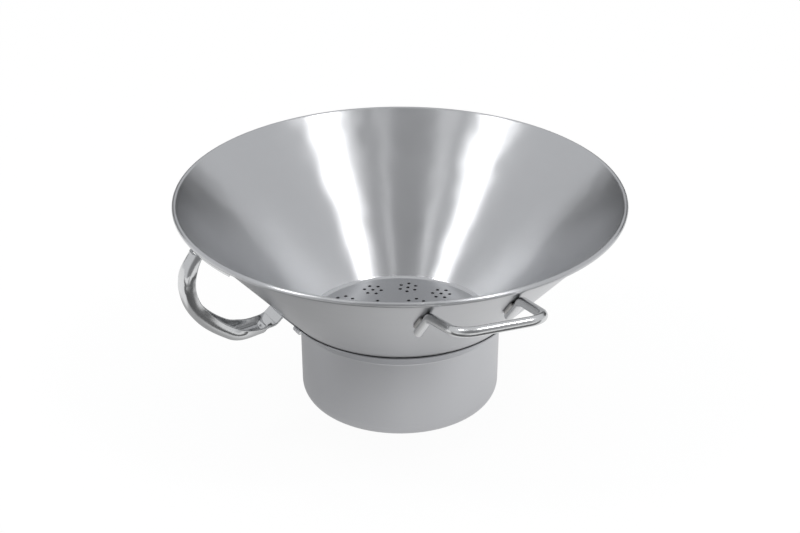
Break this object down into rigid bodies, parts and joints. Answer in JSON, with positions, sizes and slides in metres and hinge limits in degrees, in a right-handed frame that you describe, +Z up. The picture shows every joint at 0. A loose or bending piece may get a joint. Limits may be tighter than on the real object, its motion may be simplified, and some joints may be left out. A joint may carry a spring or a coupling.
{
  "type": "fry draining bowl",
  "caption": "Conical sheet-steel draining bowl with a perforated floor, nested in a hinged fat pot, with a pressed loop handle and a bent rod handle.",
  "frame": {"origin": "centre of the flat underside of the pot, on the bowl's axis", "axes": "+Z up along the bowl's axis, -X towards the loop handle, the rod handle 82.5 degrees further round near -Y"},
  "size_m": [0.4623, 0.4978, 0.2216],
  "materials": {
    "satin_sheet": "spun stainless sheet with a fine satin lay",
    "polished_strip": "pressed stainless strip, polished",
    "polished_rod": "drawn stainless rod, polished",
    "weld_metal": "brushed weld bead",
    "spring_strip": "cold-rolled spring strip"
  },
  "bodies": {
    "bowl_body": {"bowl": "satin_sheet", "rim_bar": "polished_strip", "loop_handle": "polished_strip", "foot_plate": "satin_sheet", "hinge_pin": "polished_rod", "rod_handle": "polished_rod", "rod_welds": "weld_metal", "catch_base": "satin_sheet", "catch_rivets": "polished_rod"},
    "pot_body": {"pot": "satin_sheet", "pot_leaf": "satin_sheet"},
    "catch_body": {"catch_spring": "spring_strip"}
  },
  "joints": [
    {"name": "pot_hinge", "type": "hinge", "parent": "bowl_body", "child": "pot_body", "pos_m": [-0.1151, 0, 0.09974], "axis": [0, 1, 0], "range_deg": [0, 85]},
    {"name": "catch_flex", "type": "hinge", "parent": "bowl_body", "child": "catch_body", "pos_m": [0.12603, 0, 0.11345], "axis": [0, -1, 0], "range_deg": [0, 3], "stiffness_Nm_per_rad": 4}
  ]
}
